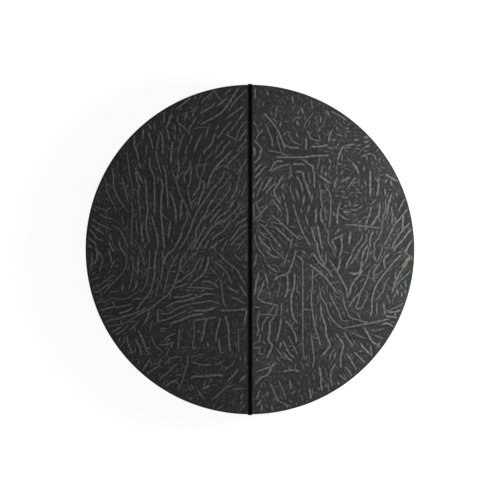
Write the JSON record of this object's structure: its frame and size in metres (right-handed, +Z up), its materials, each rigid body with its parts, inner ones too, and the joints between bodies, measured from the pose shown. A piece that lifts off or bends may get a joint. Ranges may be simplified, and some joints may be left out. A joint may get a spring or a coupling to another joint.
{
  "type": "round folding spa cover",
  "caption": "Round insulated hot tub cover that folds in half on a vinyl hinge, with tapered foam halves, hanging skirt, strap locks and carrying handles.",
  "frame": {"origin": "middle of the disc in plan, at the height of the skirt's hem", "axes": "+X across the hinge towards the half that folds over, +Y along the hinge, +Z up"},
  "size_m": [2.05, 2.062, 0.245],
  "materials": {
    "grained_vinyl": "embossed leather-look marine vinyl, satin",
    "smooth_vinyl": "fine-grained marine vinyl, satin",
    "hinge_vinyl": "smooth black vinyl, satin",
    "underside_vinyl": "thin smooth vinyl, satin",
    "binding": "woven edge binding, matte",
    "webbing": "woven polypropylene webbing, matte",
    "grip_vinyl": "padded vinyl sleeve, satin",
    "black_plastic": "moulded acetal, fine texture",
    "barrel_metal": "nickel plated, satin",
    "eyelet_metal": "stainless, satin",
    "zip_metal": "blackened steel, satin",
    "zip_coil": "moulded coil, matte",
    "zip_tape": "woven tape, matte",
    "vapour_film": "thin polyethylene film, glossy",
    "foam": "expanded polystyrene, matte",
    "galvanised_steel": "galvanised, matte"
  },
  "bodies": {
    "left_half": {"top_panel_left": "grained_vinyl", "side_band_left": "smooth_vinyl", "end_panel_left": "smooth_vinyl", "bottom_panel_left": "underside_vinyl", "drain_eyelets_left": "eyelet_metal", "vapour_film_left": "vapour_film", "steel_channel_left": "galvanised_steel", "foam_core_left": "foam", "skirt_left": "smooth_vinyl", "skirt_hem_left": "binding", "zip_tapes_left": "zip_tape", "zip_coils_left": "zip_coil", "strap_ends_left": "webbing", "handle_ends_left": "webbing", "hinge_seal_core": "foam", "hinge_seal_sleeve": "underside_vinyl", "hinge_web": "hinge_vinyl"},
    "right_half": {"top_panel_right": "grained_vinyl", "side_band_right": "smooth_vinyl", "end_panel_right": "smooth_vinyl", "bottom_panel_right": "underside_vinyl", "drain_eyelets_right": "eyelet_metal", "vapour_film_right": "vapour_film", "steel_channel_right": "galvanised_steel", "foam_core_right": "foam", "skirt_right": "smooth_vinyl", "skirt_hem_right": "binding", "zip_tapes_right": "zip_tape", "zip_coils_right": "zip_coil", "strap_ends_right": "webbing", "handle_ends_right": "webbing"},
    "zip_slider_right": {"zip_slider_right": "zip_metal"},
    "zip_pull_right": {"zip_pull_right": "zip_metal"},
    "zip_slider_left": {"zip_slider_left": "zip_metal"},
    "zip_pull_left": {"zip_pull_left": "zip_metal"},
    "lock_strap_right_front": {"strap_webbing_right_front": "webbing", "strap_clip_right_front": "black_plastic"},
    "lock_right_front": {"lock_housing_right_front": "black_plastic"},
    "lock_barrel_right_front": {"lock_barrel_right_front": "barrel_metal"},
    "handle_right_front": {"handle_webbing_right_front": "webbing", "handle_grip_right_front": "grip_vinyl"},
    "lock_strap_right_rear": {"strap_webbing_right_rear": "webbing", "strap_clip_right_rear": "black_plastic"},
    "lock_right_rear": {"lock_housing_right_rear": "black_plastic"},
    "lock_barrel_right_rear": {"lock_barrel_right_rear": "barrel_metal"},
    "handle_right_rear": {"handle_webbing_right_rear": "webbing", "handle_grip_right_rear": "grip_vinyl"},
    "lock_strap_left_rear": {"strap_webbing_left_rear": "webbing", "strap_clip_left_rear": "black_plastic"},
    "lock_left_rear": {"lock_housing_left_rear": "black_plastic"},
    "lock_barrel_left_rear": {"lock_barrel_left_rear": "barrel_metal"},
    "handle_left_rear": {"handle_webbing_left_rear": "webbing", "handle_grip_left_rear": "grip_vinyl"},
    "lock_strap_left_front": {"strap_webbing_left_front": "webbing", "strap_clip_left_front": "black_plastic"},
    "lock_left_front": {"lock_housing_left_front": "black_plastic"},
    "lock_barrel_left_front": {"lock_barrel_left_front": "barrel_metal"},
    "handle_left_front": {"handle_webbing_left_front": "webbing", "handle_grip_left_front": "grip_vinyl"}
  },
  "joints": [
    {"name": "cover_fold", "type": "hinge", "parent": "left_half", "child": "right_half", "pos_m": [0, 0, 0.247], "axis": [0, -1, 0], "range_deg": [0, 184], "deforming": ["hinge_web"]},
    {"name": "zip_slide_right", "type": "slide", "parent": "right_half", "child": "zip_slider_right", "axis": [0, 1, 0], "range_m": [0, 1.677]},
    {"name": "zip_pull_swing_right", "type": "hinge", "parent": "zip_slider_right", "child": "zip_pull_right", "pos_m": [0.06, -0.8385, 0.1164], "axis": [1, 0, 0], "range_deg": [-90, 90]},
    {"name": "zip_slide_left", "type": "slide", "parent": "left_half", "child": "zip_slider_left", "axis": [0, 1, 0], "range_m": [0, 1.677]},
    {"name": "zip_pull_swing_left", "type": "hinge", "parent": "zip_slider_left", "child": "zip_pull_left", "pos_m": [-0.06, -0.8385, 0.1164], "axis": [1, 0, 0], "range_deg": [-90, 90]},
    {"name": "strap_swing_right_front", "type": "hinge", "parent": "right_half", "child": "lock_strap_right_front", "pos_m": [0.82059, -0.59619, 0.1162], "axis": [-0.5878, -0.809, 0], "range_deg": [0, 90]},
    {"name": "lock_release_right_front", "type": "slide", "parent": "lock_strap_right_front", "child": "lock_right_front", "axis": [0, 0, -1], "range_m": [0, 0.027]},
    {"name": "key_turn_right_front", "type": "hinge", "parent": "lock_right_front", "child": "lock_barrel_right_front", "pos_m": [0.82754, -0.60125, 0.038], "axis": [0.809, -0.5878, 0], "range_deg": [0, 90]},
    {"name": "handle_swing_right_front", "type": "hinge", "parent": "right_half", "child": "handle_right_front", "pos_m": [0.27812, -0.96991, 0.1162], "axis": [-0.9613, -0.2756, 0], "range_deg": [0, 90]},
    {"name": "strap_swing_right_rear", "type": "hinge", "parent": "right_half", "child": "lock_strap_right_rear", "pos_m": [0.84089, 0.56719, 0.1162], "axis": [0.5592, -0.829, 0], "range_deg": [0, 90]},
    {"name": "lock_release_right_rear", "type": "slide", "parent": "lock_strap_right_rear", "child": "lock_right_rear", "axis": [0, 0, -1], "range_m": [0, 0.027]},
    {"name": "key_turn_right_rear", "type": "hinge", "parent": "lock_right_rear", "child": "lock_barrel_right_rear", "pos_m": [0.84802, 0.572, 0.038], "axis": [0.829, 0.5592, 0], "range_deg": [0, 90]},
    {"name": "handle_swing_right_rear", "type": "hinge", "parent": "right_half", "child": "handle_right_rear", "pos_m": [0.27812, 0.96991, 0.1162], "axis": [0.9613, -0.2756, 0], "range_deg": [0, 90]},
    {"name": "strap_swing_left_rear", "type": "hinge", "parent": "left_half", "child": "lock_strap_left_rear", "pos_m": [-0.84089, 0.56719, 0.1162], "axis": [0.5592, 0.829, 0], "range_deg": [0, 90]},
    {"name": "lock_release_left_rear", "type": "slide", "parent": "lock_strap_left_rear", "child": "lock_left_rear", "axis": [0, 0, -1], "range_m": [0, 0.027]},
    {"name": "key_turn_left_rear", "type": "hinge", "parent": "lock_left_rear", "child": "lock_barrel_left_rear", "pos_m": [-0.84802, 0.572, 0.038], "axis": [-0.829, 0.5592, 0], "range_deg": [0, 90]},
    {"name": "handle_swing_left_rear", "type": "hinge", "parent": "left_half", "child": "handle_left_rear", "pos_m": [-0.27812, 0.96991, 0.1162], "axis": [0.9613, 0.2756, 0], "range_deg": [0, 90]},
    {"name": "strap_swing_left_front", "type": "hinge", "parent": "left_half", "child": "lock_strap_left_front", "pos_m": [-0.82059, -0.59619, 0.1162], "axis": [-0.5878, 0.809, 0], "range_deg": [0, 90]},
    {"name": "lock_release_left_front", "type": "slide", "parent": "lock_strap_left_front", "child": "lock_left_front", "axis": [0, 0, -1], "range_m": [0, 0.027]},
    {"name": "key_turn_left_front", "type": "hinge", "parent": "lock_left_front", "child": "lock_barrel_left_front", "pos_m": [-0.82754, -0.60125, 0.038], "axis": [-0.809, -0.5878, 0], "range_deg": [0, 90]},
    {"name": "handle_swing_left_front", "type": "hinge", "parent": "left_half", "child": "handle_left_front", "pos_m": [-0.27812, -0.96991, 0.1162], "axis": [-0.9613, 0.2756, 0], "range_deg": [0, 90]}
  ]
}
